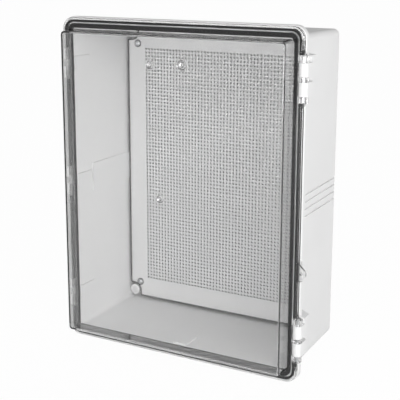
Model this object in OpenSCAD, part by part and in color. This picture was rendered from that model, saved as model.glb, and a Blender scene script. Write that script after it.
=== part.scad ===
// Hinged polycarbonate enclosure with a clear raised cover, a perforated
// mounting panel, two pin hinges and three over-centre draw latches.
// Origin: centre of the rear face that lies on the wall. X runs to the
// hinge side, Y runs back into the wall and Z runs up.

/* [Enclosure] */
// Width over the front rim of the box
rim_w = 412; // [380:1:450]
// Height over the front rim of the box
rim_h = 532; // [505:1:580]
// Depth from the wall face to the front of the clear window
total_d = 208; // [190:1:240]
// Thickness of the moulded box walls
wall = 3.5; // [3:0.1:4.5]
// Draft of each box wall between the rim and the rear face
draft = 2.5; // [1:0.5:3]
// Radius of the upright corner edges of the box
box_r = 10; // [8:1:14]
// Corner radius of the front rim
rim_r = 18; // [17:1:24]

/* [Cover] */
// Thickness of the clear cover
cover_t = 3; // [2.5:0.1:3.2]
// How far the window stands out from the cover flange
window_rise = 27; // [18:1:32]
// Corner radius of the cover flange
flange_r = 17; // [15:1:20]
// Width of the sealing strip
gasket_w = 6.8; // [5:0.2:7]

/* [Mounting panel] */
// Width of the perforated panel
panel_w = 368; // [356:1:370]
// Height of the perforated panel
panel_h = 484; // [474:1:488]
// Thickness of the perforated panel
panel_t = 2; // [1.5:0.1:3]
// Height of the panel front above the wall face
panel_front = 23.5; // [20:0.5:40]
// Distance between neighbouring holes
hole_pitch = 6; // [6:1:12]
// Diameter of one hole
hole_d = 3.2; // [2:0.1:4]
// Draw every n-th hole of each row and column
hole_step = 2; // [2:1:4]

/* [Wall fixing] */
// Distance between the wall screws across
fixing_x = 352; // [346:1:354]
// Distance between the wall screws upwards
fixing_z = 464; // [456:1:468]
// Diameter of the wall screw holes
fixing_d = 7; // [5:0.5:8]

/* [Hinges and latches] */
// Distance between the two hinges
hinge_span = 387; // [360:1:392]
// Height of the hinge pair and the grip grooves against the middle
side_z = -2; // [-4:1:4]
// Distance of the outer latches from the middle one
latch_z = 192; // [180:1:196]
// Diameter of the hinge pins
hinge_pin_d = 5; // [4:0.5:6]
// Diameter of the latch pins
latch_pin_d = 3.5; // [3:0.5:4]

/* [Hidden] */

$fn = 64;
hull_fn = 32;
slab = 0.2;

// box
box_w = rim_w - 26;
box_h = rim_h - 28;
rim_y = window_rise + 8 - total_d;
rim_d = 10;
rim_t = 3.5;
rear_t = 4;
rear_round = 3;
mouth_w = box_w - 2 * wall;
mouth_h = box_h - 2 * wall;
draft_angle = atan(draft / -rim_y);

// cover
window_w = rim_w - 33;
window_h = rim_h - 41;
window_r = 6;
window_draft = 2;
window_round = 2.2;
flange_w = rim_w - 2;
flange_h = rim_h - 3;
flange_y = -(total_d - window_rise);
flange_back = flange_y + cover_t;
skirt_t = 3;
skirt_end = rim_y - 0.5;

// sealing line, between the box wall and the cover skirt
seal_w = box_w + 1.6;
seal_h = box_h + 3;
seal_r = 7;
seal_gap = 0.3;
gasket_t = 2.8;
tongue_w = 3;
lip_w = 2.2;
lip_in = skirt_t + 0.2 + lip_w / 2;

// panel, its bosses and the corner posts
boss_x = 164;
boss_z = 215.5;
boss_drop = 3;
boss_r = 8;
insert_r = 4;
insert_l = 12;
post_r = 9;
cap_r = 6;
cap_t = 4;
notch_r = 12;
hole_cols = 50;
hole_rows = 69;
panel_back = panel_front - panel_t;

// hinges: ears on the cover, knuckles on the box
hinge_x = rim_w / 2 - 0.8;
hinge_y = rim_y - 4.5;
barrel_r = 7;
scoop_r = barrel_r + 0.4;
end_ear = 9;
mid_ear = 6.5;
knuckle = 20;
hinge_gap = 0.4;
knuckle_z = mid_ear / 2 + hinge_gap + knuckle / 2;
end_ear_z = knuckle_z + knuckle / 2 + hinge_gap + end_ear / 2;
hinge_l = 2 * end_ear_z + end_ear;
hinge_out = hinge_x + barrel_r;
gusset_room = 5;

// tab on the hinge edge of the cover
tab_z = -91;
tab_r = 8;
tab_x = flange_w / 2 + 4;
tab_root = 15;
tab_hole_d = 4;
tab_swing = 6.5;

// latches
latch_pivot_x = -(rim_w / 2 + 3.5);
latch_pivot_y = rim_y + 20;
claw_pivot_x = latch_pivot_x + 1.5;
claw_pivot_y = latch_pivot_y + 10;
finger_in = 5.5;
finger_out = 23.5;
cheek_in = finger_out + 0.4;
cheek_out = cheek_in + 3;
lug_in = cheek_out + 0.4;
lug_out = lug_in + 5;
lug_r = 4.5;
claw_t = 3;
claw_x = -(rim_w / 2 + 0.4);
keeper_y = rim_y - 0.5;
keeper_d = 5;
keeper_x = -(flange_w / 2 - 6.5);
recess_x = -(flange_w / 2 - 3.6);
hook_gap = 0.4;
running = 0.08;

function hinge_zs() = [side_z + hinge_span / 2, side_z - hinge_span / 2];
function latch_zs() = [latch_z, 0, -latch_z];
function boss_zs() = [-boss_z, boss_z - boss_drop];
function span(middle, half) = [middle - half, middle + half];

// ---------- shared shapes ----------

// Rounded rectangle standing in the X-Z plane once extruded by plate().
module rounded_rect(w, h, r) {
  square([w - 2 * r, h], center = true);
  square([w, h - 2 * r], center = true);
  for (x = [-1, 1], z = [-1, 1])
    translate([x * (w / 2 - r), z * (h / 2 - r)]) circle(r = r);
}

// Extrudes its children forwards from y_back by the given thickness.
module plate(y_back, thickness) {
  translate([0, y_back, 0]) rotate([90, 0, 0]) linear_extrude(thickness) children();
}

// Thin slab used as one station of a drafted form.
module station(w, h, r, y) {
  plate(y, slab) rounded_rect(w, h, r, $fn = hull_fn);
}

// Sweeps a 2D profile round a rounded rectangle. The profile's X is the
// distance outwards from the path and its Y is the depth.
module frame_ring(w, h, r) {
  for (side = [0, 1]) {
    mirror([side, 0, 0]) translate([w / 2, 0, 0])
      linear_extrude(h - 2 * r, center = true) children();
    mirror([0, 0, side]) translate([0, 0, h / 2]) rotate([0, -90, 0])
      linear_extrude(w - 2 * r, center = true) children();
    for (end = [0, 1])
      mirror([side, 0, 0]) mirror([0, 0, end])
        translate([w / 2 - r, 0, -(h / 2 - r)]) rotate([-90, 0, 0])
          rotate_extrude(angle = 90) translate([r, 0]) children();
  }
}

// Box between two depths, two heights and two widths.
module block(x, y, z) {
  translate([x[0], y[0], z[0]]) cube([x[1] - x[0], y[1] - y[0], z[1] - z[0]]);
}

// Upright cylinder about a pivot at x, y, between two heights.
module barrel(x, y, r, z) {
  translate([x, y, z[0]]) cylinder(r = r, h = z[1] - z[0]);
}

// Round bar along the depth, from the rear depth to the front depth.
module bar(x, z, r, y) {
  translate([x, y[1], z]) rotate([90, 0, 0]) cylinder(r = r, h = y[1] - y[0]);
}

// ---------- box ----------

module box_skin() {
  rear_w = box_w - 2 * draft;
  rear_h = box_h - 2 * draft;
  hull() {
    station(rear_w - 2 * rear_round, rear_h - 2 * rear_round, box_r - rear_round, 0);
    station(rear_w - rear_round / 2, rear_h - rear_round / 2, box_r - 1, -rear_round / 2);
    station(rear_w, rear_h, box_r, -rear_round - slab);
    station(box_w, box_h, box_r, rim_y + rim_t);
  }
}

module box_cavity() {
  hull() {
    station(mouth_w - 2 * draft, mouth_h - 2 * draft, box_r - wall, -rear_t);
    station(mouth_w, mouth_h, box_r - wall, rim_y);
  }
}

// Front rim: a face plate with a turned-back edge.
module rim() {
  edge_r = 2;
  reach = 16;
  frame_ring(rim_w, rim_h, rim_r) {
    translate([-reach, rim_y]) square([reach - edge_r, rim_t]);
    translate([-rim_t, rim_y + edge_r]) square([rim_t, rim_d - edge_r]);
    translate([-edge_r, rim_y + edge_r]) intersection() {
      circle(r = edge_r);
      translate([0, -edge_r]) square(edge_r);
    }
  }
}

// Webs that stiffen the rim edge from behind, one side at a time.
module rim_webs() {
  web_t = 2;
  web_y = [rim_y + rim_t - 0.5, rim_y + rim_d - 1.5];
  for (side = [0, 1]) {
    mirror([side, 0, 0]) for (i = [-7:7])
      block([box_w / 2 - 1, rim_w / 2 - 2], web_y, span(i * 32, web_t / 2));
    mirror([0, 0, side]) for (i = [-5:5])
      block(span(i * 34, web_t / 2), web_y, [box_h / 2 - 1, rim_h / 2 - 2]);
  }
}

// Raised lip that presses into the sealing strip.
module tongue() {
  tip = flange_back + gasket_t + seal_gap;
  frame_ring(seal_w, seal_h, seal_r)
    translate([-tongue_w / 2, tip]) square([tongue_w, rim_y + 1 - tip]);
}

// Corner posts round the wall screws and bosses under the panel.
module posts() {
  for (x = [-1, 1], z = [-1, 1])
    bar(x * fixing_x / 2, z * fixing_z / 2, post_r, [-panel_front, -1]);
  for (x = [-1, 1], z = boss_zs())
    bar(x * boss_x, z, boss_r, [-panel_back, -1]);
}

// Pads that back the grip grooves and the finger pockets.
module wall_pads() {
  pad = 2.2;
  rear_in = mouth_w / 2 - draft;
  for (side = [0, 1]) mirror([side, 0, 0])
    translate([rear_in - pad, 0, side_z]) rotate([0, 0, draft_angle])
      block([0, pad + 2], [-130, -2], [-23.5, 23.5]);
  for (z = latch_zs())
    block([-mouth_w / 2 - 1.5, 2.6 - mouth_w / 2], [rim_y + 1, -133], [z - 11, z + 11]);
  for (side = [0, 1]) mirror([0, 0, side])
    block([-12, 12], [rim_y + 5, -131.5], [mouth_h / 2 - 3, mouth_h / 2 + 1.5]);
}

// Grip grooves on both outer sides, running out of the rear edge.
module grip_grooves() {
  groove_w = 3.8;
  groove_d = 2;
  groove_pitch = 11.3;
  groove_l = 130;
  for (side = [0, 1], i = [-1.5:1:1.5]) mirror([side, 0, 0])
    translate([box_w / 2 - draft - groove_d, 0, side_z + i * groove_pitch]) rotate([0, 0, draft_angle]) {
      block([0, 10], [-groove_l, 5], [-groove_w / 2, groove_w / 2]);
      translate([0, -groove_l, 0]) rotate([0, 90, 0]) cylinder(r = groove_w / 2, h = 10);
    }
}

// Hollows behind the latch levers for a finger.
module finger_pockets() {
  for (z = latch_zs())
    block([-box_w, 0.6 - mouth_w / 2], [rim_y + 15, -136], [z - 9, z + 9]);
}

// Two knuckles per hinge with their roots on the rim, and a stop above them.
module hinge_knuckles() {
  root_x = hinge_x - barrel_r;
  stop_y = hinge_y + barrel_r + 2;
  for (z0 = hinge_zs())
    translate([0, 0, z0 + end_ear_z - end_ear / 2]) linear_extrude(end_ear)
      polygon([[box_w / 2 - 2, stop_y], [hinge_out, stop_y], [hinge_out, stop_y + 18],
               [hinge_out - 3, stop_y + 21], [box_w / 2 - 2, stop_y + 34]]);
  for (z0 = hinge_zs(), s = [-1, 1])
    translate([0, 0, z0 + s * knuckle_z - knuckle / 2]) {
      barrel(hinge_x, hinge_y, barrel_r, [0, knuckle]);
      block([root_x, hinge_out], [hinge_y, rim_y + rim_d + 2], [0, knuckle]);
      linear_extrude(knuckle)
        polygon([[box_w / 2 - 2, rim_y + 8], [hinge_out, rim_y + 11],
                 [hinge_out, rim_y + 13], [box_w / 2 - 2, rim_y + 32]]);
    }
}

// Lugs that carry the latch pins, and the rim filled in between them.
module latch_lugs() {
  for (z0 = latch_zs()) translate([0, 0, z0]) {
    block([-rim_w / 2 + 0.2, -box_w / 2 + 1], [rim_y + 1, rim_y + rim_d], [-lug_out, lug_out]);
    for (side = [0, 1]) mirror([0, 0, side]) {
      barrel(latch_pivot_x, latch_pivot_y, lug_r, [lug_in, lug_out]);
      translate([0, 0, lug_in]) linear_extrude(lug_out - lug_in)
        polygon([[-box_w / 2 + 1, rim_y + 8], [-rim_w / 2 + 3, rim_y + 8],
                 [latch_pivot_x - 4.3, latch_pivot_y - 1.5], [latch_pivot_x + 3, latch_pivot_y + 3.3],
                 [-box_w / 2 + 1, latch_pivot_y + 16]]);
    }
  }
}

module base_box() {
  color("whitesmoke")
  difference() {
    union() {
      difference() {
        union() {
          box_skin();
          rim();
        }
        box_cavity();
      }
      rim_webs();
      tongue();
      posts();
      wall_pads();
      hinge_knuckles();
      latch_lugs();
    }
    for (x = [-1, 1], z = [-1, 1]) {
      bar(x * fixing_x / 2, z * fixing_z / 2, fixing_d / 2, [-panel_front - 1, 1]);
      bar(x * fixing_x / 2, z * fixing_z / 2, cap_r, [-panel_front - 1, cap_t - panel_front]);
    }
    for (x = [-1, 1], z = boss_zs())
      bar(x * boss_x, z, insert_r, [-panel_back - 1, insert_l - panel_back]);
    grip_grooves();
    finger_pockets();
    for (z0 = hinge_zs()) {
      barrel(hinge_x, hinge_y, hinge_pin_d / 2, [z0 - hinge_l / 2, z0 + hinge_l / 2]);
      barrel(hinge_x, hinge_y, scoop_r, span(z0, mid_ear / 2 + hinge_gap));
      translate([0, 0, z0]) for (side = [0, 1]) mirror([0, 0, side]) translate([0, 0, end_ear_z])
        barrel(hinge_x, hinge_y, scoop_r, [-end_ear / 2 - hinge_gap, end_ear / 2 + gusset_room]);
      block([box_w / 2 + 1.5, rim_w], [rim_y + rim_t, rim_y + rim_d + 1],
            span(z0, mid_ear / 2 + hinge_gap));
    }
    intersection() {
      barrel(hinge_x, hinge_y, tab_x + tab_r - hinge_x + 1.5, span(tab_z, tab_root + 1));
      block([hinge_x - tab_swing, hinge_x + rim_w], [-total_d, 0], span(tab_z, tab_root + 2));
    }
    for (z0 = latch_zs()) {
      block([-rim_w, keeper_x + 0.4], [rim_y - 5, keeper_y + keeper_d + 0.4],
            [z0 - finger_out - 0.9, z0 + finger_out + 0.9]);
      barrel(latch_pivot_x, latch_pivot_y, latch_pin_d / 2, [z0 - lug_out, z0 + lug_out]);
    }
  }
}

// ---------- cover ----------

module window_skin() {
  hull() {
    station(window_w + 2 * window_draft, window_h + 2 * window_draft, window_r + 1, flange_back);
    for (turn = [0:30:90]) {
      inset = window_round * (1 - cos(turn));
      depth = window_round * (1 - sin(turn));
      station(window_w - 2 * inset, window_h - 2 * inset, window_r - inset, depth + slab - total_d);
    }
  }
}

module window_hollow() {
  inner_w = window_w - 2 * cover_t;
  inner_h = window_h - 2 * cover_t;
  hull() {
    station(inner_w + 2 * window_draft, inner_h + 2 * window_draft, window_r - 2, flange_back + 1);
    station(inner_w, inner_h, window_r - 3, -total_d + cover_t + slab);
  }
}

// Shallow round marks of the mould on the front of the window.
module mould_marks() {
  mark_d = 0.3;
  for (mark = [[-28, 201.5, 7], [26.5, 204.5, 8], [-12.5, -1, 6], [73.5, -22, 6]])
    bar(mark[0], mark[1], mark[2], [-total_d - 1, mark_d - total_d]);
}

// Flange with a rounded front edge and a skirt over the sealing strip.
module flange() {
  plate(flange_back, cover_t)
    rounded_rect(flange_w - 2 * skirt_t, flange_h - 2 * skirt_t, flange_r - skirt_t);
  frame_ring(flange_w, flange_h, flange_r) {
    translate([-skirt_t, flange_back]) square([skirt_t, skirt_end - flange_back]);
    translate([-skirt_t, flange_back]) intersection() {
      circle(r = skirt_t);
      translate([0, -skirt_t]) square(skirt_t);
    }
  }
}

// Ears that turn on the hinge pins.
module cover_ears() {
  for (z0 = hinge_zs(), s = [-1, 0, 1]) translate([0, 0, z0 + s * end_ear_z]) {
    ear = span(0, (s == 0 ? mid_ear : end_ear) / 2);
    barrel(hinge_x, hinge_y, barrel_r, ear);
    block([hinge_x - barrel_r, hinge_x], [flange_y, rim_y - 1], ear);
  }
}

// Gussets that lead the flange edge into the end ears of the hinges.
module ear_gussets() {
  gusset = 8;
  for (z0 = hinge_zs(), side = [0, 1])
    translate([0, 0, z0]) mirror([0, 0, side]) translate([0, 0, end_ear_z + end_ear / 2])
      plate(flange_back, cover_t)
        polygon([[flange_w / 2 - 4, -1], [hinge_out - 0.5, -1], [hinge_out - 2.5, 1],
                 [flange_w / 2, gusset], [flange_w / 2 - 4, gusset]]);
}

// Pierced tab on the hinge edge that takes a sealing wire.
module wire_tab() {
  plate(flange_back, cover_t)
  difference() {
    union() {
      translate([tab_x, tab_z]) circle(r = tab_r);
      polygon([[flange_w / 2 - 4, tab_z + tab_root], [flange_w / 2, tab_z + tab_root],
               [tab_x + 0.71 * tab_r, tab_z + 0.71 * tab_r], [tab_x + 0.5 * tab_r, tab_z - 0.87 * tab_r],
               [flange_w / 2, tab_z - tab_root + 2], [flange_w / 2 - 4, tab_z - tab_root + 2]]);
    }
    translate([tab_x + 0.5, tab_z]) circle(d = tab_hole_d);
  }
}

// Steps that the latch claws pull on.
module keepers() {
  for (z0 = latch_zs()) {
    span = [z0 - finger_out - 0.5, z0 + finger_out + 0.5];
    block([-flange_w / 2, keeper_x], [keeper_y, keeper_y + keeper_d], span);
    block([recess_x, keeper_x], [flange_y + 1, keeper_y + keeper_d], span);
  }
}

module cover() {
  color("lightcyan", 0.4)
  difference() {
    union() {
      difference() {
        union() {
          window_skin();
          flange();
        }
        window_hollow();
        mould_marks();
        for (z0 = hinge_zs(), s = [-1, 1]) translate([0, 0, z0 + s * knuckle_z])
          block([hinge_x - scoop_r, rim_w], [-total_d - 1, rim_y],
                span(0, knuckle / 2 + hinge_gap));
        for (z0 = latch_zs())
          block([-rim_w, recess_x], [-total_d - 1, rim_y],
                [z0 - finger_out - 1.1, z0 + finger_out + 1.1]);
      }
      cover_ears();
      keepers();
      ear_gussets();
      wire_tab();
    }
    for (z0 = hinge_zs())
      barrel(hinge_x, hinge_y, hinge_pin_d / 2 + running, [z0 - hinge_l / 2 - 1, z0 + hinge_l / 2 + 1]);
  }
}

// Main strip under the tongue and a thin outer lip inside the skirt. The
// lip stops at the hinges and latches.
module gasket() {
  color("dimgray") {
    frame_ring(seal_w, seal_h, seal_r)
      translate([-gasket_w / 2, flange_back]) square([gasket_w, gasket_t]);
    difference() {
      frame_ring(flange_w, flange_h, flange_r)
        translate([-lip_in - lip_w / 2, flange_back]) square([lip_w, skirt_end - flange_back]);
      for (z0 = hinge_zs())
        block([0, rim_w], [flange_y, rim_y], span(z0, hinge_l / 2 + 0.6));
      for (z0 = latch_zs())
        block([-rim_w, 0], [flange_y, rim_y], span(z0, finger_out + 1.6));
    }
  }
}

// ---------- panel and fasteners ----------

module panel_outline() {
  difference() {
    square([panel_w, panel_h], center = true);
    for (x = [0, 1], z = [0, 1]) mirror([x, 0]) mirror([0, z])
      translate([fixing_x / 2, fixing_z / 2]) {
        circle(r = notch_r);
        translate([0, -notch_r]) square(3 * notch_r);
        translate([-notch_r, 0]) square(3 * notch_r);
      }
    for (x = [-1, 1], z = boss_zs()) translate([x * boss_x, z]) circle(d = 5.6);
  }
}

module mounting_panel() {
  cols = ceil(hole_cols / hole_step);
  rows = ceil(hole_rows / hole_step);
  spacing = hole_pitch * hole_step;
  color("gainsboro")
  plate(-panel_back, panel_t)
  difference() {
    panel_outline();
    for (i = [0:cols - 1], j = [0:rows - 1])
      translate([(i - (cols - 1) / 2) * spacing, (j - (rows - 1) / 2) * spacing])
        circle(d = hole_d, $fn = 16);
  }
}

module panel_screws() {
  head_t = 3;
  color("silver")
  for (x = [-1, 1], z = boss_zs()) {
    translate([x * boss_x, -panel_front, z]) rotate([90, 0, 0])
      cylinder(r1 = 5, r2 = 3.6, h = head_t);
    bar(x * boss_x, z, 2.4, [-panel_front - 1, insert_l - panel_back - 2]);
  }
}

module panel_inserts() {
  color("goldenrod")
  for (x = [-1, 1], z = boss_zs()) difference() {
    bar(x * boss_x, z, insert_r, [-panel_back, insert_l - panel_back]);
    bar(x * boss_x, z, 2.5, [-panel_back - 1, insert_l - panel_back - 1.5]);
  }
}

module wall_hole_plugs() {
  color("gainsboro")
  for (x = [-1, 1], z = [-1, 1])
    bar(x * fixing_x / 2, z * fixing_z / 2, cap_r - 0.2, [-panel_front, cap_t - panel_front]);
}

// ---------- hinge pins and latches ----------

module hinge_pin(z0) {
  color("silver")
  barrel(hinge_x, hinge_y, hinge_pin_d / 2, [z0 - hinge_l / 2 + 1, z0 + hinge_l / 2 - 1]);
}

// Lever: two cheeks on the pins and a finger plate that turns in to the box.
module latch_lever(z0) {
  plate_start = 14;
  color("whitesmoke")
  translate([latch_pivot_x, latch_pivot_y, z0])
  difference() {
    union() {
      for (side = [0, 1]) mirror([0, 0, side]) {
        barrel(0, 0, lug_r, [cheek_in, cheek_out]);
        translate([0, 0, cheek_in]) linear_extrude(cheek_out - cheek_in)
          polygon([[-4.5, 0], [4.5, 0], [5.2, 10], [6, plate_start + 6],
                   [-5.5, plate_start + 6], [-6, 10]]);
      }
      translate([0, 0, -cheek_out]) linear_extrude(2 * cheek_out) {
        polygon([[-6, plate_start], [-2.5, plate_start], [-2, plate_start + 3],
                 [10.5, 41], [11, 46], [7.5, 46], [6.8, 42], [-5.5, plate_start + 5]]);
        translate([9.25, 46]) circle(r = 1.75);
      }
    }
    barrel(0, 0, latch_pin_d / 2 + running, [-cheek_out - 1, cheek_out + 1]);
    barrel(claw_pivot_x - latch_pivot_x, claw_pivot_y - latch_pivot_y, latch_pin_d / 2,
           [-cheek_out - 1, cheek_out + 1]);
  }
}

// Claw: a barrel with two hooked fingers.
module latch_claw(z0) {
  barrel_out = 3.5;
  nose_r = 2.5;
  hook_back = keeper_y - hook_gap;
  hook_front = hook_back - claw_t;
  hook_end = recess_x - 0.4;
  color("whitesmoke")
  translate([0, 0, z0])
  difference() {
    union() {
      barrel(claw_pivot_x, claw_pivot_y, barrel_out, [-finger_out, finger_out]);
      for (side = [0, 1]) mirror([0, 0, side])
        translate([0, 0, finger_in]) linear_extrude(finger_out - finger_in) {
          translate([claw_x - claw_t, hook_front + nose_r]) square([claw_t, claw_pivot_y - hook_front - nose_r]);
          translate([claw_x - claw_t + nose_r, hook_front])
            square([hook_end - claw_x + claw_t - nose_r, claw_t]);
          translate([claw_x - claw_t + nose_r, hook_front + nose_r]) intersection() {
            circle(r = nose_r);
            translate([-nose_r, -nose_r]) square(nose_r);
          }
        }
    }
    barrel(claw_pivot_x, claw_pivot_y, latch_pin_d / 2 + running, [-finger_out - 1, finger_out + 1]);
  }
}

module latch_lever_pins(z0) {
  color("silver")
  translate([0, 0, z0])
  for (side = [0, 1]) mirror([0, 0, side])
    barrel(latch_pivot_x, latch_pivot_y, latch_pin_d / 2, [cheek_in, lug_out - 0.3]);
}

module latch_claw_pin(z0) {
  color("silver")
  translate([0, 0, z0])
    barrel(claw_pivot_x, claw_pivot_y, latch_pin_d / 2, [-cheek_out + 0.2, cheek_out - 0.2]);
}

base_box();
cover();
gasket();
mounting_panel();
panel_screws();
panel_inserts();
wall_hole_plugs();
hinge_pin(hinge_zs()[0]);  // hinge_pin_upper
hinge_pin(hinge_zs()[1]);  // hinge_pin_lower
latch_lever(latch_z);  // latch_lever_top
latch_lever(0);  // latch_lever_middle
latch_lever(-latch_z);  // latch_lever_bottom
latch_claw(latch_z);  // latch_claw_top
latch_claw(0);  // latch_claw_middle
latch_claw(-latch_z);  // latch_claw_bottom
latch_lever_pins(latch_z);  // latch_lever_pins_top
latch_lever_pins(0);  // latch_lever_pins_middle
latch_lever_pins(-latch_z);  // latch_lever_pins_bottom
latch_claw_pin(latch_z);  // latch_claw_pin_top
latch_claw_pin(0);  // latch_claw_pin_middle
latch_claw_pin(-latch_z);  // latch_claw_pin_bottom
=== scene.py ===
"""Finishes, fine pieces, studio and camera of a hinged polycarbonate enclosure.

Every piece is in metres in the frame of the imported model: X to the hinge side,
Y back into the wall, Z up, with the origin at the middle of the rear face.
"""

import logging
import math
from dataclasses import dataclass, field
from enum import Enum
from typing import Any, Iterable

import bpy
from mathutils import Euler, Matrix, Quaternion, Vector
from mathutils.geometry import tessellate_polygon

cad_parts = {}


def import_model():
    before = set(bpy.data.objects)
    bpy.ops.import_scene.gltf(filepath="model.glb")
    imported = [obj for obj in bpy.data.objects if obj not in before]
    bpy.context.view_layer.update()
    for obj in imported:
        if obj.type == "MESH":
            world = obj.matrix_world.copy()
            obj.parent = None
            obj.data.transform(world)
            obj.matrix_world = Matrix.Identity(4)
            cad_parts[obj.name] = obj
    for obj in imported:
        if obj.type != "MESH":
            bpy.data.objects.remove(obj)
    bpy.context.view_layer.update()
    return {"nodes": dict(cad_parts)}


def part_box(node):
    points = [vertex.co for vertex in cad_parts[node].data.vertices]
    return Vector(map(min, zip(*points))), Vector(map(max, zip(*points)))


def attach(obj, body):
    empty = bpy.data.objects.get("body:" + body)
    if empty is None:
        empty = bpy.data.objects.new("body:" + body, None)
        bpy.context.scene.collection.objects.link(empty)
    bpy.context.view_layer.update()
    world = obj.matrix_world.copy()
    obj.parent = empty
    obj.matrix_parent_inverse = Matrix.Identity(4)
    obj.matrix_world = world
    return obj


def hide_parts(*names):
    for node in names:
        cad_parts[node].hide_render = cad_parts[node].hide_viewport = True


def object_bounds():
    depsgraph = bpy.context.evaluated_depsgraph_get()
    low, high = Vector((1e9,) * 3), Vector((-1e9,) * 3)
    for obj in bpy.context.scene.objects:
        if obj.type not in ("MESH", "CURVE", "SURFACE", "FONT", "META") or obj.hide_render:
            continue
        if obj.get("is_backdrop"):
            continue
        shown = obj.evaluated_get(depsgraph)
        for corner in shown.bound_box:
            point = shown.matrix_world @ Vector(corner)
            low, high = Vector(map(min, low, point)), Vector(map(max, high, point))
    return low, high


MM = 0.001
POLYCARBONATE_IOR = 1.58
BEVEL_SAMPLES = 4
LOG = logging.getLogger("enclosure")
Point = tuple[float, float]
Place = tuple[float, float, float]
Route = list[tuple[Point, Point]]
Socket = bpy.types.NodeSocket


# ---------------------------------------------------------------- node helpers


def linear(hex_colour: str) -> tuple[float, float, float, float]:
    """Turns an sRGB hex colour into linear RGBA.

    Args:
        hex_colour: A colour such as "#E4E4E3".

    Returns:
        The linear red, green, blue and an alpha of 1.
    """
    values = [int(hex_colour[i:i + 2], 16) / 255 for i in (1, 3, 5)]
    red, green, blue = (v / 12.92 if v <= 0.04045 else ((v + 0.055) / 1.055) ** 2.4 for v in values)
    return (red, green, blue, 1.0)


def add_node(
    tree: bpy.types.NodeTree,
    kind: str,
    settings: dict[str, Any] | None = None,
    links: dict[str, Socket] | None = None,
) -> bpy.types.Node:
    """Adds a node with its settings and incoming links.

    Args:
        tree: The node tree that takes the node.
        kind: The node's type name without its "ShaderNode" prefix.
        settings: Input values by socket name or number, or properties by name.
        links: Output sockets by the name of the input that they feed.

    Returns:
        The new node.
    """
    node = tree.nodes.new("ShaderNode" + kind)
    for name, value in (settings or {}).items():
        if name.isdigit():
            node.inputs[int(name)].default_value = value
        elif name in node.inputs:
            node.inputs[name].default_value = value
        else:
            setattr(node, name, value)
    for name, source in (links or {}).items():
        target = node.inputs[int(name)] if name.isdigit() else node.inputs[name]
        tree.links.new(source, target)
    return node


def new_tree(name: str) -> tuple[bpy.types.Material, bpy.types.NodeTree, bpy.types.Node]:
    """Starts an empty node material.

    Args:
        name: The material's name.

    Returns:
        The material, its node tree and its output node.
    """
    material = bpy.data.materials.new(name)
    material.use_nodes = True
    tree = material.node_tree
    tree.nodes.clear()
    return material, tree, add_node(tree, "OutputMaterial")


def per_size(size_mm: float) -> float:
    """Works out the scale of a texture.

    Args:
        size_mm: The size of its features.

    Returns:
        The scale for the texture's node.
    """
    return 1.0 / (size_mm * MM)


# ---------------------------------------------------------------- finishes


@dataclass(frozen=True)
class MouldedPlastic:
    """Injection-moulded polycarbonate or ABS with a fine spark-eroded grain.

    The grain softens highlights, the skin is a little uneven where the wall
    has shrunk, and edges are rounded by the tool.
    """

    name: str
    colour: str
    shade: str
    roughness: float = 0.42
    gloss_spread: Point = (0.05, 0.06)
    grain_mm: float = 0.7
    grain_depth_mm: float = 0.012
    sink_mm: float = 85.0
    sink_depth_mm: float = 0.6
    edge_mm: float = 0.6

    def make(self) -> bpy.types.Material:
        """Builds the material.

        Returns:
            The new material, made of procedural nodes alone.
        """
        material, tree, output = new_tree(self.name)
        place = add_node(tree, "TexCoord").outputs["Object"]
        edge = add_node(tree, "Bevel", {"Radius": self.edge_mm * MM, "samples": BEVEL_SAMPLES})
        grain = add_node(
            tree, "TexNoise", {"Scale": per_size(self.grain_mm), "Detail": 2.0}, {"Vector": place})
        sink = add_node(tree, "TexNoise", {"Scale": per_size(self.sink_mm), "Detail": 1.0}, {"Vector": place})
        fine = add_node(
            tree, "Bump", {"Strength": 0.5, "Distance": self.grain_depth_mm * MM},
            {"Height": grain.outputs["Fac"], "Normal": edge.outputs["Normal"]})
        broad = add_node(
            tree, "Bump", {"Strength": 0.35, "Distance": self.sink_depth_mm * MM},
            {"Height": sink.outputs["Fac"], "Normal": fine.outputs["Normal"]})
        tone = add_node(
            tree, "MixRGB", {"Color1": linear(self.colour), "Color2": linear(self.shade)},
            {"Fac": sink.outputs["Fac"]})
        gloss = add_node(
            tree, "MapRange",
            {"To Min": self.roughness - self.gloss_spread[0],
             "To Max": self.roughness + self.gloss_spread[1]},
            {"Value": grain.outputs["Fac"]})
        skin = add_node(
            tree, "BsdfPrincipled", {"IOR": POLYCARBONATE_IOR, "Specular IOR Level": 0.42},
            {"Base Color": tone.outputs["Color"], "Roughness": gloss.outputs["Result"],
             "Normal": broad.outputs["Normal"]})
        tree.links.new(skin.outputs["BSDF"], output.inputs["Surface"])
        return material


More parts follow.
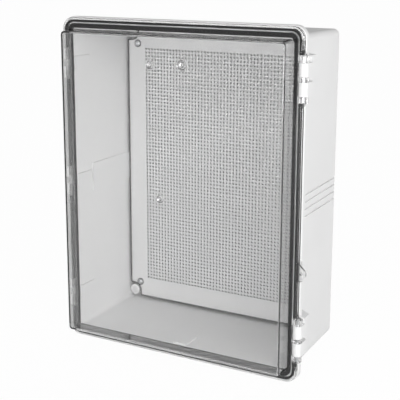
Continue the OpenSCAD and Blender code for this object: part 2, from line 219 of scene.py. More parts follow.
@dataclass(frozen=True)
class ClearPolycarbonate:
    """Polished clear polycarbonate, injection moulded.

    It bends and doubles what stands behind its edges, and the flow of the
    melt leaves long shallow waves that break up its reflections.
    """

    name: str = "clear_polycarbonate"
    tint: str = "#F8F8F8"
    roughness: float = 0.015
    wave_mm: float = 120.0
    wave_depth_mm: float = 0.25
    dust_mm: float = 30.0
    edge_mm: float = 0.4
    # White of the painted highlight on the front edges of the window.
    painted_highlight: str = "#F2F2F2"
    passed: float = 0.93
    dust_film: float = 0.05
    # Bevel radius and strength of the painted highlight on the window's front edges.
    highlight_bevel_mm: float = 1.3
    highlight_share: float = 0.6
    # Cosines of the turn at an edge where the painted highlight starts and where it is full.
    highlight_turn: Point = (0.99, 0.85)
    # Parts of the cover's depth, from its front, between which the painted highlight ends.
    highlight_depth: Point = (0.1, 0.16)

    def make(self) -> bpy.types.Material:
        """Builds the material.

        Returns:
            The new material, made of procedural nodes alone.
        """
        material, tree, output = new_tree(self.name)
        place = add_node(tree, "TexCoord").outputs["Object"]
        wave = add_node(tree, "TexNoise", {"Scale": per_size(self.wave_mm), "Detail": 1.0}, {"Vector": place})
        edge = add_node(tree, "Bevel", {"Radius": self.edge_mm * MM, "samples": BEVEL_SAMPLES})
        flow = add_node(
            tree, "Bump", {"Strength": 0.25, "Distance": self.wave_depth_mm * MM},
            {"Height": wave.outputs["Fac"], "Normal": edge.outputs["Normal"]})
        dust = add_node(
            tree, "TexNoise", {"Scale": per_size(self.dust_mm), "Detail": 5.0}, {"Vector": place})
        film = add_node(
            tree, "MapRange", {"To Min": self.roughness, "To Max": self.roughness + self.dust_film},
            {"Value": dust.outputs["Fac"]})
        clear = add_node(
            tree, "BsdfPrincipled",
            {"Base Color": linear(self.tint), "IOR": POLYCARBONATE_IOR, "Transmission Weight": 1.0},
            {"Roughness": film.outputs["Result"], "Normal": flow.outputs["Normal"]})
        # Painted highlight: a white diffuse mix on the front edges of the window stands in for the light
        # those edges catch.
        corner = add_node(tree, "Bevel", {"Radius": self.highlight_bevel_mm * MM, "samples": BEVEL_SAMPLES})
        turn = add_node(
            tree, "VectorMath", {"operation": "DOT_PRODUCT"},
            {"0": corner.outputs["Normal"], "1": add_node(tree, "NewGeometry").outputs["True Normal"]})
        edge_highlight = add_node(
            tree, "MapRange",
            {"From Min": self.highlight_turn[0], "From Max": self.highlight_turn[1], "To Min": 0.0, "To Max": self.highlight_share},
            {"Value": turn.outputs["Value"]})
        depth = add_node(
            tree, "SeparateXYZ", {}, {"Vector": add_node(tree, "TexCoord").outputs["Generated"]})
        outer = add_node(
            tree, "MapRange",
            {"From Min": self.highlight_depth[0], "From Max": self.highlight_depth[1], "To Min": 1.0, "To Max": 0.0},
            {"Value": depth.outputs["Y"]})
        front = add_node(
            tree, "Math", {"operation": "MULTIPLY"},
            {"0": edge_highlight.outputs["Result"], "1": outer.outputs["Result"]})
        painted_highlight = add_node(tree, "BsdfDiffuse", {"Color": linear(self.painted_highlight)})
        highlit_clear = add_node(
            tree, "MixShader", {},
            {"0": front.outputs["Value"], "1": clear.outputs["BSDF"], "2": painted_highlight.outputs["BSDF"]})
        # Light passes the clear wall instead of leaving a solid shadow inside.
        through = add_node(tree, "BsdfTransparent", {"Color": (self.passed, self.passed, self.passed, 1.0)})
        ray = add_node(tree, "LightPath")
        mix = add_node(
            tree, "MixShader", {},
            {"0": ray.outputs["Is Shadow Ray"], "1": highlit_clear.outputs["Shader"], "2": through.outputs["BSDF"]})
        tree.links.new(mix.outputs["Shader"], output.inputs["Surface"])
        return material


@dataclass(frozen=True)
class FoamRubber:
    """Foamed-in-place polyurethane seal: matt, dark and finely porous."""

    name: str = "foam_seal"
    colour: str = "#2B2B2C"
    pore: str = "#1C1C1D"
    pore_mm: float = 0.6
    pore_depth_mm: float = 0.05

    def make(self) -> bpy.types.Material:
        """Builds the material.

        Returns:
            The new material, made of procedural nodes alone.
        """
        material, tree, output = new_tree(self.name)
        place = add_node(tree, "TexCoord").outputs["Object"]
        pores = add_node(tree, "TexVoronoi", {"Scale": per_size(self.pore_mm)}, {"Vector": place})
        tone = add_node(
            tree, "MixRGB", {"Color1": linear(self.pore), "Color2": linear(self.colour)},
            {"Fac": pores.outputs["Distance"]})
        bump = add_node(
            tree, "Bump", {"Strength": 0.6, "Distance": self.pore_depth_mm * MM},
            {"Height": pores.outputs["Distance"]})
        skin = add_node(
            tree, "BsdfPrincipled", {"Roughness": 0.85, "IOR": 1.5},
            {"Base Color": tone.outputs["Color"], "Normal": bump.outputs["Normal"]})
        tree.links.new(skin.outputs["BSDF"], output.inputs["Surface"])
        return material


@dataclass(frozen=True)
class PowderCoat:
    """Light grey polyester powder coat on punched steel, with orange peel.

    The coat is sprayed from the front, so the punched edges and the back stay in the primer.
    The primer is made dark as painted shade in the holes and the gap round the panel.
    """

    name: str = "powder_coated_steel"
    colour: str = "#D0D0D0"
    shade: str = "#C9C9C9"
    # Dark primer: partly the bare back of the plate, partly painted shade in the holes and behind the panel.
    primer_and_shade: str = "#2C2D2E"
    peel_mm: float = 1.6
    peel_depth_mm: float = 0.03
    cloud_mm: float = 140.0
    roughness: Point = (0.36, 0.5)
    # Forward tilts of a face at which the coat starts to cover the primer and is full.
    sprayed_tilt: Point = (-0.4, -0.8)

    def make(self) -> bpy.types.Material:
        """Builds the material.

        Returns:
            The new material, made of procedural nodes alone.
        """
        material, tree, output = new_tree(self.name)
        place = add_node(tree, "TexCoord").outputs["Object"]
        peel = add_node(tree, "TexNoise", {"Scale": per_size(self.peel_mm), "Detail": 2.0}, {"Vector": place})
        cloud = add_node(
            tree, "TexNoise", {"Scale": per_size(self.cloud_mm), "Detail": 3.0}, {"Vector": place})
        tone = add_node(
            tree, "MixRGB", {"Color1": linear(self.colour), "Color2": linear(self.shade)},
            {"Fac": cloud.outputs["Fac"]})
        facing = add_node(tree, "SeparateXYZ", {}, {"Vector": add_node(tree, "TexCoord").outputs["Normal"]})
        sprayed = add_node(
            tree, "MapRange", {"From Min": self.sprayed_tilt[0], "From Max": self.sprayed_tilt[1]},
            {"Value": facing.outputs["Y"]})
        # Faces turned away from the front take the dark primer, which paints the shade in the holes.
        layer = add_node(
            tree, "MixRGB", {"Color1": linear(self.primer_and_shade)},
            {"Fac": sprayed.outputs["Result"], "Color2": tone.outputs["Color"]})
        bump = add_node(
            tree, "Bump", {"Strength": 0.4, "Distance": self.peel_depth_mm * MM},
            {"Height": peel.outputs["Fac"]})
        gloss = add_node(
            tree, "MapRange", {"To Min": self.roughness[0], "To Max": self.roughness[1]},
            {"Value": peel.outputs["Fac"]})
        skin = add_node(
            tree, "BsdfPrincipled", {"IOR": 1.5},
            {"Base Color": layer.outputs["Color"], "Roughness": gloss.outputs["Result"],
             "Normal": bump.outputs["Normal"]})
        tree.links.new(skin.outputs["BSDF"], output.inputs["Surface"])
        return material


@dataclass(frozen=True)
class TurnedMetal:
    """Turned or drawn metal, finely marked by its tools."""

    name: str
    colour: str
    roughness: float
    gloss_spread: Point = (0.06, 0.1)
    mark_mm: float = 0.35
    mark_depth_mm: float = 0.01

    def make(self) -> bpy.types.Material:
        """Builds the material.

        Returns:
            The new material, made of procedural nodes alone.
        """
        material, tree, output = new_tree(self.name)
        place = add_node(tree, "TexCoord").outputs["Object"]
        marks = add_node(
            tree, "TexNoise", {"Scale": per_size(self.mark_mm), "Detail": 3.0}, {"Vector": place})
        gloss = add_node(
            tree, "MapRange",
            {"To Min": self.roughness - self.gloss_spread[0],
             "To Max": self.roughness + self.gloss_spread[1]},
            {"Value": marks.outputs["Fac"]})
        bump = add_node(
            tree, "Bump", {"Strength": 0.3, "Distance": self.mark_depth_mm * MM},
            {"Height": marks.outputs["Fac"]})
        metal = add_node(
            tree, "BsdfPrincipled", {"Base Color": linear(self.colour), "Metallic": 1.0},
            {"Roughness": gloss.outputs["Result"], "Normal": bump.outputs["Normal"]})
        tree.links.new(metal.outputs["BSDF"], output.inputs["Surface"])
        return material


class Finish(Enum):
    """The finishes of the enclosure."""

    BOX = MouldedPlastic("moulded_polycarbonate", "#E5E5E5", "#DEDEDE")
    LATCH = MouldedPlastic("moulded_latch_plastic", "#EAEAEA", "#E4E4E4", roughness=0.35)
    PLUG = MouldedPlastic("moulded_plug_plastic", "#D2D2D2", "#CBCBCB", roughness=0.5)
    COVER = ClearPolycarbonate()
    SEAL = FoamRubber()
    PANEL = PowderCoat()
    STEEL = TurnedMetal("bright_zinc_steel", "#C9CACC", 0.28)
    BRASS = TurnedMetal("turned_brass", "#C8A45A", 0.32)

    @property
    def material(self) -> bpy.types.Material:
        """The finish's material, built on first use."""
        found = bpy.data.materials.get(self.value.name)
        return found or self.value.make()


def dress(node: bpy.types.Object, finish: Finish) -> None:
    """Gives a node its finish.

    Args:
        node: The node's object.
        finish: The finish for all its faces.
    """
    node.data.materials.clear()
    node.data.materials.append(finish.material)
    LOG.info("dressed %s in %s", node.name, finish.value.name)


# ---------------------------------------------------------------- mesh helpers


@dataclass
class MeshPlan:
    """Vertices and faces gathered before they become one object."""

    points: list[Place] = field(default_factory=list)
    faces: list[tuple[int, ...]] = field(default_factory=list)

    def add(self, points: Iterable[Place]) -> int:
        """Adds points.

        Args:
            points: Places in metres.

        Returns:
            The index of the first of them.
        """
        first = len(self.points)
        self.points.extend(points)
        return first

    def lathe(self, profile: list[Point], centre: Vector, segments: int = 32) -> None:
        """Turns a profile about the depth axis through a centre.

        Args:
            profile: (radius, depth) points, from the rear to the front.
            centre: The centre of the turned form; depths count from its Y.
            segments: Steps round the axis.
        """
        rings = []
        for radius, depth in profile:
            if radius == 0:
                rings.append([self.add([(centre.x, centre.y + depth, centre.z)])] * segments)
                continue
            first = self.add(
                (centre.x + radius * math.cos(2 * math.pi * i / segments), centre.y + depth,
                 centre.z + radius * math.sin(2 * math.pi * i / segments)) for i in range(segments))
            rings.append([first + i for i in range(segments)])
        for rear, front in zip(rings, rings[1:]):
            for i in range(segments):
                j = (i + 1) % segments
                corners = (rear[i], rear[j], front[j], front[i])
                self.faces.append(tuple(dict.fromkeys(corners)))

    def sweep(self, path: Route, profile: list[Point], closed: bool) -> None:
        """Sweeps a profile along a path in the X-Z plane.

        Args:
            path: Places and outward directions, counter-clockwise from the front.
            profile: (outwards, depth) points, counter-clockwise with outwards to the right.
            closed: Whether the path joins its start; otherwise its ends are capped.
        """
        count = len(profile)
        rows = [
            self.add((x + out * nx, depth, z + out * nz) for out, depth in profile)
            for (x, z), (nx, nz) in path]
        pairs = list(zip(rows, rows[1:] + rows[:1])) if closed else list(zip(rows, rows[1:]))
        for here, there in pairs:
            for k in range(count):
                n = (k + 1) % count
                self.faces.append((here + k, here + n, there + n, there + k))
        if not closed:
            self.faces.append(tuple(rows[0] + k for k in reversed(range(count))))
            self.faces.append(tuple(rows[-1] + k for k in range(count)))

    def build(self, name: str, finish: Finish, smooth_deg: float = 30.0) -> bpy.types.Object:
        """Makes the object.

        Args:
            name: The name of the piece.
            finish: The finish for all its faces.
            smooth_deg: Edges that turn less than this are shaded smooth.

        Returns:
            The new object, linked to the scene.
        """
        mesh = bpy.data.meshes.new(name)
        mesh.from_pydata(self.points, [], self.faces)
        mesh.validate()
        mesh.update()
        mesh.shade_smooth()
        mesh.set_sharp_from_angle(angle=math.radians(smooth_deg))
        piece = bpy.data.objects.new(name, mesh)
        bpy.context.scene.collection.objects.link(piece)
        mesh.materials.append(finish.material)
        LOG.info("built %s with %d faces", name, len(self.faces))
        return piece


# ---------------------------------------------------------------- sub-assemblies


@dataclass
class Housing:
    """The solids that are shown as they are: box, cover, pins, latches and inserts."""

    nodes: dict[str, bpy.types.Object]

    def dress(self) -> None:
        """Gives each node of the housing its finish."""
        finishes = {
            "base_box": Finish.BOX, "cover": Finish.COVER,
            "hinge_pin": Finish.STEEL, "latch_lever_pins": Finish.STEEL, "latch_claw_pin": Finish.STEEL,
            "latch_lever": Finish.LATCH, "latch_claw": Finish.LATCH, "panel_inserts": Finish.BRASS}
        for name, node in self.nodes.items():
            match = next((f for start, f in finishes.items() if name.startswith(start)), None)
            if match:
                dress(node, match)


@dataclass
class Seal:
    """Foam seal behind the cover's flange: a main strip, and an outer lip whose dark foam also paints the
    shade under the cover's skirt.
    """

    strip_width: float = 6.8 * MM
    strip_radius: float = 7 * MM
    strip_inset: Point = (10.0 * MM, 9.2 * MM)
    # The outer lip and its foot are dark foam: partly a seal lip, partly painted shade under the cover's
    # skirt.
    shade_lip_width: float = 3.2 * MM
    shade_lip_inset: Point = (1.9 * MM, 1.9 * MM)
    shade_lip_radius: float = 14 * MM
    shade_foot_reach: float = 2.6 * MM
    shade_foot_depth: float = 0.4 * MM
    strip_back: float = 0.5 * MM
    edge: float = 0.5 * MM
    edge_turn: float = 0.3
    corner_steps: int = 10
    hinge_gap: float = 1.6 * MM
    claw_gap: float = 1.6 * MM

    def build(self) -> None:
        """Builds the seal in the place of its solid."""
        low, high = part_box("gasket")
        plan = MeshPlan()
        strip = self._path(high.x - self.strip_inset[0], high.z - self.strip_inset[1], self.strip_radius)
        plan.sweep(strip, self._profile(self.strip_width, low.y, high.y - self.strip_back), True)
        half_x, half_z = high.x - self.shade_lip_inset[0], high.z - self.shade_lip_inset[1]
        # The outer lip and foot paint the shade that the skirt casts on the rim.
        for run in self._runs(self._path(half_x, half_z, self.shade_lip_radius), half_x):
            plan.sweep(run, self._profile(self.shade_lip_width, low.y, high.y), False)
        for run in self._side_runs(half_x, half_z - self.shade_lip_radius):
            plan.sweep(run, self._shade_foot_profile(high.y), False)
        piece = plan.build("foam_seal_and_shade_lip", Finish.SEAL)
        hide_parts("gasket")
        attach(piece, "lid")

    def _profile(self, width: float, front: float, back: float) -> list[Point]:
        """Section of a strip: flat against the flange, with a rounded skin behind."""
        half, edge = width / 2, self.edge
        turn = self.edge_turn * edge
        return [(-half, front), (half, front), (half, back - edge), (half - turn, back - turn),
                (half - edge, back), (edge - half, back), (turn - half, back - turn), (-half, back - edge)]

    def _shade_foot_profile(self, back: float) -> list[Point]:
        """Section of the dark foot under the end of the skirt, which paints the shade there."""
        half = self.shade_lip_width / 2
        tip = half + self.shade_foot_reach
        return [(half - self.edge, back - self.edge), (half, back), (tip, back),
                (tip, back + self.shade_foot_depth), (half - self.edge, back + self.shade_foot_depth)]

    def _side_runs(self, half_x: float, half_z: float) -> list[Route]:
        """Upright stretches of the hinge side, between the corners and the hinges."""
        ends = [-half_z]
        for name in ("lower", "upper"):
            low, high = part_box("hinge_pin_" + name)
            ends += [low.z - self.hinge_gap, high.z + self.hinge_gap]
        ends.append(half_z)
        right = (1.0, 0.0)
        return [[((half_x, a), right), ((half_x, b), right)] for a, b in zip(ends[::2], ends[1::2])]

    def _path(self, half_x: float, half_z: float, radius: float) -> Route:
        """Rounded rectangle as places and outward directions."""
        path: Route = []
        for quarter, (sx, sz) in enumerate(((1, 1), (-1, 1), (-1, -1), (1, -1))):
            for step in range(self.corner_steps + 1):
                angle = math.radians(90 * (quarter + step / self.corner_steps))
                out = (math.cos(angle), math.sin(angle))
                centre = (sx * (half_x - radius), sz * (half_z - radius))
                path.append(((centre[0] + radius * out[0], centre[1] + radius * out[1]), out))
        return path

    def _runs(self, path: Route, half_x: float) -> list[Route]:
        """Splits the lip's path at the hinges and the latches."""
        hinges = [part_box("hinge_pin_" + name) for name in ("upper", "lower")]
        claws = [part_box("latch_claw_" + name) for name in ("top", "middle", "bottom")]
        up = sorted((low.z - self.hinge_gap, high.z + self.hinge_gap) for low, high in hinges)
        down = sorted(((high.z + self.claw_gap, low.z - self.claw_gap) for low, high in claws), reverse=True)
        corner = self.corner_steps + 1
        right, left = (1.0, 0.0), (-1.0, 0.0)
        top = [((half_x, up[1][1]), right)] + path[:2 * corner] + [((-half_x, down[0][0]), left)]
        bottom = [((-half_x, down[2][1]), left)] + path[2 * corner:] + [((half_x, up[0][0]), right)]
        middle = [[((half_x, up[0][1]), right), ((half_x, up[1][0]), right)]]
        middle += [[((-half_x, a[1]), left), ((-half_x, b[0]), left)] for a, b in zip(down, down[1:])]
        return [top, bottom] + middle


@dataclass
class MouldMarks:
    """Round marks of the mould behind the window: a dimple in low rings.

    Each place holds X, Z and the radius. Each step of the section holds a part
    of that radius and a height, from the middle outwards.
    """

    places: tuple[Place, ...] = (
        (-28 * MM, 201.5 * MM, 8 * MM), (26.5 * MM, 204.5 * MM, 9.2 * MM), (-12.5 * MM, -1 * MM, 7 * MM))
    section: tuple[Point, ...] = (
        (0.0, 2.4 * MM), (0.18, 1.9 * MM), (0.34, 0.5 * MM), (0.52, 2.1 * MM),
        (0.64, 2.3 * MM), (0.78, 0.6 * MM), (0.9, 1.5 * MM), (1.0, 0.05 * MM), (1.0, 0.0), (0.0, 0.0))
    wall: float = 3 * MM
    film: float = 0.05 * MM
    segments: int = 28
    smooth_deg: float = 50.0

    def build(self) -> None:
        """Builds all the marks as one clear piece on the inner face of the window."""
        low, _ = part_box("cover")
        plan = MeshPlan()
        for x, z, radius in self.places:
            profile = [(part * radius, height) for part, height in self.section]
            plan.lathe(profile, Vector((x, low.y + self.wall + self.film, z)), self.segments)
        piece = plan.build("window_mould_marks", Finish.COVER, self.smooth_deg)
        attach(piece, "lid")


@dataclass
class PerforatedPanel:
    """Punched steel mounting panel with notched corners and a dark rubber edging that paints the shade in the
    gap round it.
    """

    hole_pitch: float = 6 * MM
    hole_radius: float = 1.8 * MM
    columns: int = 50
    rows: int = 69
    hole_sides: int = 12
    post: Point = (176 * MM, 232 * MM)
    notch_radius: float = 12 * MM
    corner_radius: float = 3 * MM
    corner_steps: int = 4
    notch_steps: int = 8
    screw_x: float = 164 * MM
    screw_levels: Point = (-215.5 * MM, 212.5 * MM)
    screw_radius: float = 2.8 * MM
    washer_radius: float = 6.4 * MM
    washer_thickness: float = 0.6 * MM
    washer_sides: int = 24
    bore_sides: int = 20
    # Width of the dark rubber edging, which paints the shade in the gap round the panel.
    shade_edging: float = 2.3 * MM

    def build(self) -> None:
        """Builds the panel in the place of its solid, with its dark edging of painted shade."""
        self._build_plate()
        self._build_shade_edging_and_washers()

    def _build_shade_edging_and_washers(self) -> None:
        """Adds the dark edging, painted shade in the gap round the outline, and a washer under each screw
        head.
        """
        low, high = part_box("mounting_panel")
        plan = MeshPlan()
        outer = self._outline((high.x, high.z), 0.0)
        inner = self._outline((high.x, high.z), self.shade_edging)
        count = len(outer)
        rings = [plan.add((x, y, z) for x, z in line)
                 for line, y in ((outer, low.y), (outer, high.y), (inner, high.y), (inner, low.y))]
        for ring, other in zip(rings, rings[1:] + rings[:1]):
            for k in range(count):
                after = (k + 1) % count
                plan.faces.append((ring + k, other + k, other + after, ring + after))
        bore, rim, thickness = self.screw_radius, self.washer_radius, self.washer_thickness
        section = [(bore, 0), (bore, thickness), (rim, thickness), (rim, 0), (bore, 0)]
        for x in (-self.screw_x, self.screw_x):
            for z in self.screw_levels:
                plan.lathe(section, Vector((x, low.y - thickness, z)), self.washer_sides)
        piece = plan.build("panel_shade_edging_and_washers", Finish.SEAL)
        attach(piece, "box")

    def _build_plate(self) -> None:
        """Builds the steel plate with its holes."""
        low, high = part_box("mounting_panel")
        flat: list[Point] = []
        faces: list[tuple[int, ...]] = []
        loops: list[list[int]] = []
        self._punch(flat, faces, loops)
        self._border(flat, faces, loops, (high.x, high.z))
        plan = MeshPlan()
        front = plan.add((x, low.y, z) for x, z in flat)
        rear = plan.add((x, high.y, z) for x, z in flat)
        for face in faces:
            plan.faces.append(tuple(front + i for i in face))
            plan.faces.append(tuple(rear + i for i in reversed(face)))
        for loop in loops:
            for a, b in zip(loop, loop[1:] + loop[:1]):
                plan.faces.append((front + a, front + b, rear + b, rear + a))
        piece = plan.build("perforated_panel", Finish.PANEL)
        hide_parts("mounting_panel")
        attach(piece, "box")

    def _punch(self, flat: list[Point], faces: list[tuple[int, ...]], loops: list[list[int]]) -> None:
        """Adds the hole field: one square cell with a round hole per hole."""
        half_x = self.columns * self.hole_pitch / 2
        half_z = self.rows * self.hole_pitch / 2
        for j in range(self.rows + 1):
            for i in range(self.columns + 1):
                flat.append((i * self.hole_pitch - half_x, j * self.hole_pitch - half_z))
        side = self.hole_sides // 4
        for j in range(self.rows):
            for i in range(self.columns):
                corner = j * (self.columns + 1) + i
                square = [corner, corner + 1, corner + self.columns + 2, corner + self.columns + 1]
                x = (i + 0.5) * self.hole_pitch - half_x
                z = (j + 0.5) * self.hole_pitch - half_z
                first = len(flat)
                # The first point of each hole looks at the first corner of its square.
                for k in range(self.hole_sides):
                    angle = 2 * math.pi * k / self.hole_sides - 0.75 * math.pi
                    flat.append((x + self.hole_radius * math.cos(angle),
                                 z + self.hole_radius * math.sin(angle)))
                ring = [first + k for k in range(self.hole_sides)]
                for k in range(4):
                    arc = [ring[(k * side + s) % self.hole_sides] for s in range(side + 1)]
                    faces.append((square[k], square[(k + 1) % 4], *reversed(arc)))
                loops.append(ring)

    def _outline(self, corner: Point, inset: float) -> list[Point]:
        """Outline of the panel, counter-clockwise, with its four notches."""
        quarter: list[Point] = []
        right, top = corner[0] - inset, corner[1] - inset
        step = self.notch_radius + inset
        r = self.corner_radius - inset
        low_z, low_x = self.post[1] - step, self.post[0] - step
        for k in range(self.corner_steps + 1):
            angle = math.radians(90 * k / self.corner_steps)
            quarter.append((right - r + r * math.cos(angle), low_z - r + r * math.sin(angle)))
        for k in range(self.notch_steps + 1):
            angle = math.radians(-90 - 90 * k / self.notch_steps)
            quarter.append((self.post[0] + step * math.cos(angle), self.post[1] + step * math.sin(angle)))
        for k in range(self.corner_steps + 1):
            angle = math.radians(90 * k / self.corner_steps)
            quarter.append((low_x - r + r * math.cos(angle), top - r + r * math.sin(angle)))
        mirrored = [(-x, z) for x, z in reversed(quarter)]
        upper = quarter + mirrored
        return upper + [(-x, -z) for x, z in upper]

    def _border(
        self, flat: list[Point], faces: list[tuple[int, ...]], loops: list[list[int]], corner: Point
    ) -> None:
        """Adds the plain border between the hole field and the outline."""
        across, up = self.columns + 1, self.rows + 1
        field_loop = list(range(across))
        field_loop += [j * across + across - 1 for j in range(1, up)]
        field_loop += [(up - 1) * across + i for i in range(across - 2, -1, -1)]
        field_loop += [j * across for j in range(up - 2, 0, -1)]
        outline = self._outline(corner, self.shade_edging)
        first = len(flat)
        flat.extend(outline)
        rim = [first + i for i in range(len(outline))]
        holes = []
        for x in (-self.screw_x, self.screw_x):
            for z in self.screw_levels:
                start = len(flat)
                for k in range(self.bore_sides):
                    angle = -2 * math.pi * k / self.bore_sides
                    flat.append((x + self.screw_radius * math.cos(angle),
                                 z + self.screw_radius * math.sin(angle)))
                holes.append([start + k for k in range(self.bore_sides)])
        all_loops = [rim, field_loop] + holes
        order = [i for loop in all_loops for i in loop]
        triangles = tessellate_polygon([[Vector((*flat[i], 0)) for i in loop] for loop in all_loops])
        for triangle in triangles:
            a, b, c = (order[i] for i in triangle)
            area = ((flat[b][0] - flat[a][0]) * (flat[c][1] - flat[a][1])
                    - (flat[c][0] - flat[a][0]) * (flat[b][1] - flat[a][1]))
            faces.append((a, b, c) if area > 0 else (a, c, b))
        loops.append(list(reversed(rim)))
        loops.extend(list(reversed(hole)) for hole in holes)


@dataclass
class Fasteners:
    """Panel screws and the plugs over the wall screws."""

    head_radius: float = 5 * MM
    head_height: float = 3 * MM
    shank_radius: float = 2.4 * MM
    tip_length: float = 1 * MM
    tip_part: float = 0.7
    recess_width: float = 1.1 * MM
    recess_reach: float = 2.6 * MM
    recess_depth: float = 1.6 * MM
    plug_x: float = 176 * MM
    plug_edge: float = 0.6 * MM
    plug_dish: Point = (0.55, 0.5)
    dome_fall: float = 0.55
    dome_power: int = 4
    recess_taper: float = 0.6
    head_segments: int = 48
    head_rings: int = 14
    shank_sides: int = 24
    plug_sides: int = 40

    def build(self) -> None:
        """Builds the screws and the plugs."""
        self._screws()
        self._plugs()

    def _centres(self, node: str, radius: float, depth: float) -> list[Vector]:
        """Middles of the four fasteners of a node, at a depth."""
        low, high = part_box(node)
        return [Vector((x, depth, z)) for x in (low.x + radius, high.x - radius)
                for z in (low.z + radius, high.z - radius)]

    def _head(self, plan: MeshPlan, centre: Vector) -> None:
        """Adds one pan head with a cross recess, facing forwards."""
        segments, rings = self.head_segments, self.head_rings
        rows = []
        for r in range(rings + 1):
            radius = self.head_radius * r / rings
            first = plan.add(
                self._head_point(centre, radius, 2 * math.pi * k / segments) for k in range(segments))
            rows.append(first)
        base = plan.add(
            (centre.x + self.head_radius * math.cos(2 * math.pi * k / segments), centre.y,
             centre.z + self.head_radius * math.sin(2 * math.pi * k / segments)) for k in range(segments))
        rows.append(base)
        for inner, outer in zip(rows, rows[1:]):
            for k in range(segments):
                n = (k + 1) % segments
                plan.faces.append((inner + k, inner + n, outer + n, outer + k))

    def _head_point(self, centre: Vector, radius: float, angle: float) -> Place:
        """A point of the head's front at a radius and an angle."""
        x, z = radius * math.cos(angle), radius * math.sin(angle)
        dome = self.head_height * (1 - self.dome_fall * (radius / self.head_radius) ** self.dome_power)
        inside = min(abs(x), abs(z)) < self.recess_width / 2 and radius < self.recess_reach
        cut = self.recess_depth * (1 - self.recess_taper * radius / self.recess_reach) if inside else 0.0
        return (centre.x + x, centre.y - dome + cut, centre.z + z)

    def _screws(self) -> None:
        """Builds the four panel screws as one piece."""
        low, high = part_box("panel_screws")
        plan = MeshPlan()
        for centre in self._centres("panel_screws", self.head_radius, low.y + self.head_height):
            self._head(plan, centre)
            end = high.y - centre.y
            shank = self.shank_radius
            plan.lathe([(0, end), (shank * self.tip_part, end), (shank, end - self.tip_length),
                        (shank, 0), (self.head_radius, 0)], centre, self.shank_sides)
        piece = plan.build("panel_screws_pan_head", Finish.STEEL)
        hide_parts("panel_screws")
        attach(piece, "box")

    def _plugs(self) -> None:
        """Builds the four push-in plugs as one piece."""
        low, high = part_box("wall_hole_plugs")
        radius = (high.x - low.x) / 2 - self.plug_x
        plan = MeshPlan()
        for centre in self._centres("wall_hole_plugs", radius, low.y):
            depth = high.y - low.y
            edge = self.plug_edge
            dish, floor = (radius * part for part in self.plug_dish)
            plan.lathe([(0, depth), (radius - edge, depth), (radius, depth - edge), (radius, edge),
                        (radius - edge, 0), (dish, 0), (floor, edge / 2), (0, edge / 2)],
                       centre, self.plug_sides)
        piece = plan.build("wall_hole_caps", Finish.PLUG)
        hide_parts("wall_hole_plugs")
        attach(piece, "box")


# ---------------------------------------------------------------- studio


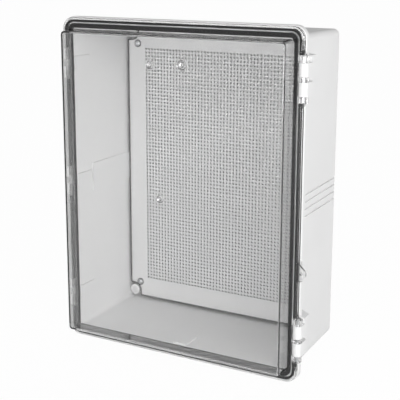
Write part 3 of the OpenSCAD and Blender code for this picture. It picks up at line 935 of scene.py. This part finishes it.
@dataclass
class Studio:
    """White sweep, soft boxes and a view camera whose lens is shifted down.

    The shift keeps the upright edges of the enclosure nearly parallel.
    """

    azimuth_deg: float = 28.672
    elevation_deg: float = 12.261
    roll_deg: float = 0.115
    distance: float = 1.506
    lens_mm: float = 84.608
    sensor_mm: float = 36.0
    lens_shift: float = -0.10487
    aim_depth: float = -104 * MM
    rise: float = 43.4 * MM
    aside: float = 0.6 * MM
    floor_reach: float = 60.0
    floor_tone: str = "#F4F4F4"
    floor_glow: float = 0.97
    box_distance: float = 2.6
    # The level of plain light in front of the object and behind it.
    lit_levels: Point = (0.42, 0.6)
    lit_span: float = 0.6
    # What reflections and refractions see: dark to the front right, white to the
    # rear left, and darker again overhead.
    seen_levels: Point = (0.3, 1.0)
    seen_span: float = 0.35
    seen_slant: float = -0.8
    overhead_levels: Point = (1.0, 0.25)
    overhead_rise: Point = (0.02, 0.14)

    def build(self, low: Vector, high: Vector) -> None:
        """Builds the surroundings of an object with the given corners."""
        self._world()
        self._floor(low.z)
        middle = (low + high) / 2
        self._soft_box("key", middle, Vector((1.0, -0.6, 0.3)), size=1.6, power=38.0)
        self._soft_box("front", middle, Vector((0.05, -1.0, 0.0)), size=1.2, power=34.0)
        self._camera()

    def _world(self) -> None:
        """White background for the eye, a plain level of light for the object."""
        world = bpy.data.worlds.new("white_room")
        bpy.context.scene.world = world
        world.use_nodes = True
        tree = world.node_tree
        tree.nodes.clear()
        ray = add_node(tree, "LightPath")
        seen = add_node(
            tree, "Math", {"operation": "MAXIMUM"},
            {"0": ray.outputs["Is Camera Ray"], "1": ray.outputs["Is Glossy Ray"]})
        seen_all = add_node(
            tree, "Math", {"operation": "MAXIMUM"},
            {"0": seen.outputs["Value"], "1": ray.outputs["Is Transmission Ray"]})
        way = add_node(tree, "SeparateXYZ", {}, {"Vector": add_node(tree, "TexCoord").outputs["Generated"]})
        level = add_node(
            tree, "MapRange",
            {"From Min": -self.lit_span, "From Max": self.lit_span,
             "To Min": self.lit_levels[0], "To Max": self.lit_levels[1]},
            {"Value": way.outputs["Y"]})
        lit = add_node(tree, "Background", {"Color": (1, 1, 1, 1)}, {"Strength": level.outputs["Result"]})
        # The darker parts of the room draw the edges of the clear cover.
        side = add_node(
            tree, "Math", {"operation": "MULTIPLY_ADD", "1": self.seen_slant},
            {"0": way.outputs["X"], "2": way.outputs["Y"]})
        shade = add_node(
            tree, "MapRange",
            {"From Min": -self.seen_span, "From Max": self.seen_span,
             "To Min": self.seen_levels[0], "To Max": self.seen_levels[1]},
            {"Value": side.outputs["Value"]})
        above = add_node(
            tree, "MapRange",
            {"From Min": self.overhead_rise[0], "From Max": self.overhead_rise[1],
             "To Min": self.overhead_levels[0], "To Max": self.overhead_levels[1]},
            {"Value": way.outputs["Z"]})
        tone = add_node(
            tree, "Math", {"operation": "MULTIPLY"},
            {"0": shade.outputs["Result"], "1": above.outputs["Result"]})
        hue = add_node(
            tree, "MixRGB", {"Color1": (0, 0, 0, 1), "Color2": (1, 1, 1, 1)}, {"Fac": tone.outputs["Value"]})
        white = add_node(
            tree, "MixRGB", {"Color2": (1, 1, 1, 1)},
            {"Fac": ray.outputs["Is Camera Ray"], "Color1": hue.outputs["Color"]})
        room = add_node(tree, "Background", {}, {"Color": white.outputs["Color"]})
        mix = add_node(
            tree, "MixShader", {},
            {"0": seen_all.outputs["Value"], "1": lit.outputs["Background"], "2": room.outputs["Background"]})
        output = add_node(tree, "OutputWorld", {}, {"Surface": mix.outputs["Shader"]})
        output.is_active_output = True

    def _floor(self, height: float) -> None:
        """Pale floor that keeps a soft shadow of the object."""
        reach = self.floor_reach
        mesh = bpy.data.meshes.new("floor")
        mesh.from_pydata([(-reach, -reach, height), (reach, -reach, height),
                          (reach, reach, height), (-reach, reach, height)], [], [(0, 1, 2, 3)])
        floor = bpy.data.objects.new("floor", mesh)
        bpy.context.scene.collection.objects.link(floor)
        material, tree, output = new_tree("white_sweep")
        ray = add_node(tree, "LightPath")
        seen = add_node(
            tree, "Math", {"operation": "MULTIPLY", "1": self.floor_glow},
            {"0": ray.outputs["Is Camera Ray"]})
        paper = add_node(tree, "BsdfDiffuse", {"Color": linear(self.floor_tone)})
        glow = add_node(tree, "Emission", {"Color": (1, 1, 1, 1), "Strength": 1.0})
        mix = add_node(
            tree, "MixShader", {},
            {"0": seen.outputs["Value"], "1": paper.outputs["BSDF"], "2": glow.outputs["Emission"]})
        tree.links.new(mix.outputs["Shader"], output.inputs["Surface"])
        mesh.materials.append(material)
        floor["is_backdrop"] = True

    def _soft_box(self, name: str, aim: Vector, direction: Vector, size: float, power: float) -> None:
        """Adds one square soft box that faces the object."""
        lamp = bpy.data.lights.new(name, "AREA")
        lamp.shape = "SQUARE"
        lamp.size = size
        lamp.energy = power
        box = bpy.data.objects.new(name, lamp)
        box.location = aim + direction.normalized() * self.box_distance
        box.rotation_euler = (aim - box.location).to_track_quat("-Z", "Y").to_euler()
        bpy.context.scene.collection.objects.link(box)

    def _camera(self) -> None:
        """Adds the camera."""
        tilt = math.radians(90 - self.elevation_deg)
        turn = Euler((tilt, 0.0, math.radians(self.azimuth_deg))).to_quaternion()
        right, up, backwards = (turn @ Vector(axis) for axis in ((1, 0, 0), (0, 1, 0), (0, 0, 1)))
        camera = bpy.data.cameras.new("camera")
        camera.sensor_width = self.sensor_mm
        camera.lens = self.lens_mm
        camera.shift_y = self.lens_shift
        holder = bpy.data.objects.new("camera", camera)
        aim = Vector((0.0, self.aim_depth, 0.0)) + right * self.aside + up * self.rise
        holder.location = aim + backwards * self.distance
        roll = Quaternion((0.0, 0.0, 1.0), math.radians(self.roll_deg))
        holder.rotation_euler = (turn @ roll).to_euler()
        bpy.context.scene.collection.objects.link(holder)
        bpy.context.scene.camera = holder


def main() -> None:
    """Loads the frame, builds and dresses every piece, and sets the studio."""
    logging.basicConfig(level=logging.INFO, format="%(name)s: %(message)s")
    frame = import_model()
    bpy.context.scene.view_settings.view_transform = "Standard"
    low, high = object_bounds()
    Housing(frame["nodes"]).dress()
    Seal().build()
    MouldMarks().build()
    PerforatedPanel().build()
    Fasteners().build()
    Studio().build(low, high)


if __name__ == "__main__":
    main()
